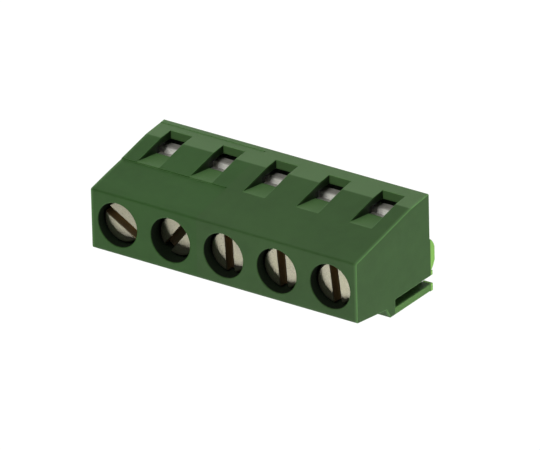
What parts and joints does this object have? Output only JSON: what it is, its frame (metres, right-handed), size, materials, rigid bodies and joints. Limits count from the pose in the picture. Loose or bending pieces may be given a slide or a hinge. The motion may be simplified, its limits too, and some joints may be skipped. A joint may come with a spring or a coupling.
{
  "type": "pcb terminal block",
  "caption": "Screw terminal block for a circuit board: rising-cage clamps in two interlocked housings, wires from the front.",
  "frame": {"origin": "axis of the centre solder pin where it meets the board face", "axes": "+X along the row of ways, +Z away from the board towards the screws, -Y out of the wire entries"},
  "size_m": [0.0257, 0.0084, 0.0135],
  "materials": {
    "housing": "moulded polyamide, satin, dark green",
    "screw": "zinc plated steel, fine grained",
    "cage": "nickel plated steel, bright",
    "contact": "tin plated copper alloy, semi-bright"
  },
  "bodies": {
    "housing": {"housing_three_way": "housing", "housing_two_way": "housing", "contact_pin_1": "contact", "contact_pin_2": "contact", "contact_pin_3": "contact", "contact_pin_4": "contact", "contact_pin_5": "contact"},
    "screw_1": {"clamp_screw_1": "screw"},
    "cage_1": {"lift_cage_1": "cage"},
    "screw_2": {"clamp_screw_2": "screw"},
    "cage_2": {"lift_cage_2": "cage"},
    "screw_3": {"clamp_screw_3": "screw"},
    "cage_3": {"lift_cage_3": "cage"},
    "screw_4": {"clamp_screw_4": "screw"},
    "cage_4": {"lift_cage_4": "cage"},
    "screw_5": {"clamp_screw_5": "screw"},
    "cage_5": {"lift_cage_5": "cage"}
  },
  "joints": [
    {"name": "screw_1_turn", "type": "hinge", "parent": "housing", "child": "screw_1", "pos_m": [-0.01, -0.00235, 0.008], "axis": [0, 0, -1], "range_deg": [-432, 504]},
    {"name": "cage_1_lift", "type": "slide", "parent": "housing", "child": "cage_1", "axis": [0, 0, 1], "range_m": [-0.0006, 0.0007]},
    {"name": "screw_2_turn", "type": "hinge", "parent": "housing", "child": "screw_2", "pos_m": [-0.005, -0.00235, 0.008], "axis": [0, 0, -1], "range_deg": [-432, 504]},
    {"name": "cage_2_lift", "type": "slide", "parent": "housing", "child": "cage_2", "axis": [0, 0, 1], "range_m": [-0.0006, 0.0007]},
    {"name": "screw_3_turn", "type": "hinge", "parent": "housing", "child": "screw_3", "pos_m": [0, -0.00235, 0.008], "axis": [0, 0, -1], "range_deg": [-432, 504]},
    {"name": "cage_3_lift", "type": "slide", "parent": "housing", "child": "cage_3", "axis": [0, 0, 1], "range_m": [-0.0006, 0.0007]},
    {"name": "screw_4_turn", "type": "hinge", "parent": "housing", "child": "screw_4", "pos_m": [0.005, -0.00235, 0.008], "axis": [0, 0, -1], "range_deg": [-432, 504]},
    {"name": "cage_4_lift", "type": "slide", "parent": "housing", "child": "cage_4", "axis": [0, 0, 1], "range_m": [-0.0006, 0.0007]},
    {"name": "screw_5_turn", "type": "hinge", "parent": "housing", "child": "screw_5", "pos_m": [0.01, -0.00235, 0.008], "axis": [0, 0, -1], "range_deg": [-432, 504]},
    {"name": "cage_5_lift", "type": "slide", "parent": "housing", "child": "cage_5", "axis": [0, 0, 1], "range_m": [-0.0006, 0.0007]}
  ],
  "couplings": [
    {"joint": "screw_1_turn", "follows": "cage_1_lift", "rad_per_m": 12566},
    {"joint": "screw_2_turn", "follows": "cage_2_lift", "rad_per_m": 12566},
    {"joint": "screw_3_turn", "follows": "cage_3_lift", "rad_per_m": 12566},
    {"joint": "screw_4_turn", "follows": "cage_4_lift", "rad_per_m": 12566},
    {"joint": "screw_5_turn", "follows": "cage_5_lift", "rad_per_m": 12566}
  ]
}
